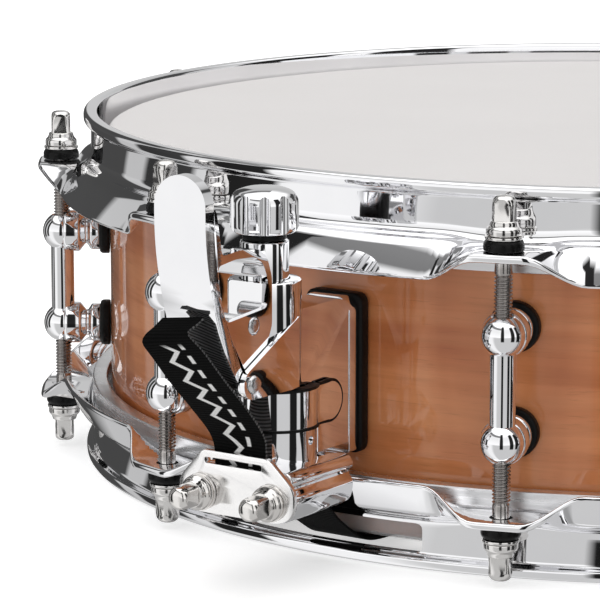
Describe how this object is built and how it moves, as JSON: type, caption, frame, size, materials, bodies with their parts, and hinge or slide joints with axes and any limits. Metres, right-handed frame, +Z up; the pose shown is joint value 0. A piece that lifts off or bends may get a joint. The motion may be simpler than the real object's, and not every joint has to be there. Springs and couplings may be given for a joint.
{
  "type": "snare drum",
  "caption": "Shallow wooden-shell snare drum with pressed wave hoops, ball-and-tube lugs, a lever strainer with adjusting knob, and snare wires under the lower head.",
  "frame": {"origin": "on the drum's axis in the plane of the bottom rim, where a stand's basket or a table carries the drum", "axes": "+Z up through the batter head; -Y points out through the strainer, +Y out through the butt plate; +X is to the right seen from the strainer side"},
  "size_m": [0.403, 0.4879, 0.1231],
  "materials": {
    "chrome": "mirror-bright chrome plate, scattered hairline wear",
    "nickel": "bright nickel plate, slightly warm",
    "steel": "plain bright steel",
    "aluminium": "satin extruded aluminium",
    "maple": "natural maple veneer under high-gloss lacquer",
    "coated_film": "fine-sprayed white coating on polyester film",
    "clear_film": "thin hazy polyester film",
    "rubber": "satin black moulded rubber and nylon",
    "webbing": "black woven ribbon with a plain printed zigzag"
  },
  "bodies": {
    "drum": {"shell": "maple", "vent_grommet": "nickel", "batter_film": "coated_film", "batter_flesh_hoop": "aluminium", "snare_side_film": "clear_film", "snare_side_flesh_hoop": "aluminium", "top_hoop": "chrome", "bottom_hoop": "chrome", "lug_1": "chrome", "lug_2": "chrome", "lug_3": "chrome", "lug_4": "chrome", "lug_5": "chrome", "lug_6": "chrome", "lug_7": "chrome", "lug_8": "chrome", "lug_9": "chrome", "lug_10": "chrome", "top_tension_rod_1": "nickel", "top_tension_rod_2": "nickel", "top_tension_rod_3": "nickel", "top_tension_rod_4": "nickel", "top_tension_rod_5": "nickel", "top_tension_rod_6": "nickel", "top_tension_rod_7": "nickel", "top_tension_rod_8": "nickel", "top_tension_rod_9": "nickel", "top_tension_rod_10": "nickel", "bottom_tension_rod_1": "nickel", "bottom_tension_rod_2": "nickel", "bottom_tension_rod_3": "nickel", "bottom_tension_rod_4": "nickel", "bottom_tension_rod_5": "nickel", "bottom_tension_rod_6": "nickel", "bottom_tension_rod_7": "nickel", "bottom_tension_rod_8": "nickel", "bottom_tension_rod_9": "nickel", "bottom_tension_rod_10": "nickel", "strainer_pad": "rubber", "strainer_housing": "chrome", "lever_pivot_pin": "steel", "strap_run": "webbing", "snare_wires": "steel", "butt_pad": "rubber", "butt_bracket": "chrome", "butt_clamp_plate": "chrome", "butt_screw_left": "nickel", "butt_screw_right": "nickel", "butt_strap": "webbing"},
    "lever": {"throw_lever": "chrome", "lever_cam_pin": "steel"},
    "lift": {"lift_tube": "chrome", "knob_ring": "rubber", "strainer_carriage": "chrome", "clamp_plate": "chrome", "clamp_screw_left": "nickel", "clamp_screw_right": "nickel", "strap_tail": "webbing"},
    "knob": {"adjusting_knob": "chrome", "adjusting_screw": "steel"}
  },
  "joints": [
    {"name": "lever_throw", "type": "hinge", "parent": "drum", "child": "lever", "pos_m": [0, -0.2374, 0.0623], "axis": [1, 0, 0], "range_deg": [0, 72], "deforming": ["strap_tail"]},
    {"name": "lift_slide", "type": "slide", "parent": "drum", "child": "lift", "axis": [0, 0, 1], "range_m": [-0.007, 0], "deforming": ["strap_run"]},
    {"name": "knob_turn", "type": "hinge", "parent": "lift", "child": "knob", "pos_m": [0, -0.217, 0.1], "axis": [0, 0, 1], "range_deg": [-315, 1800]}
  ],
  "couplings": [
    {"joint": "lift_slide", "follows": "lever_throw", "m_per_rad": -0.0055}
  ]
}
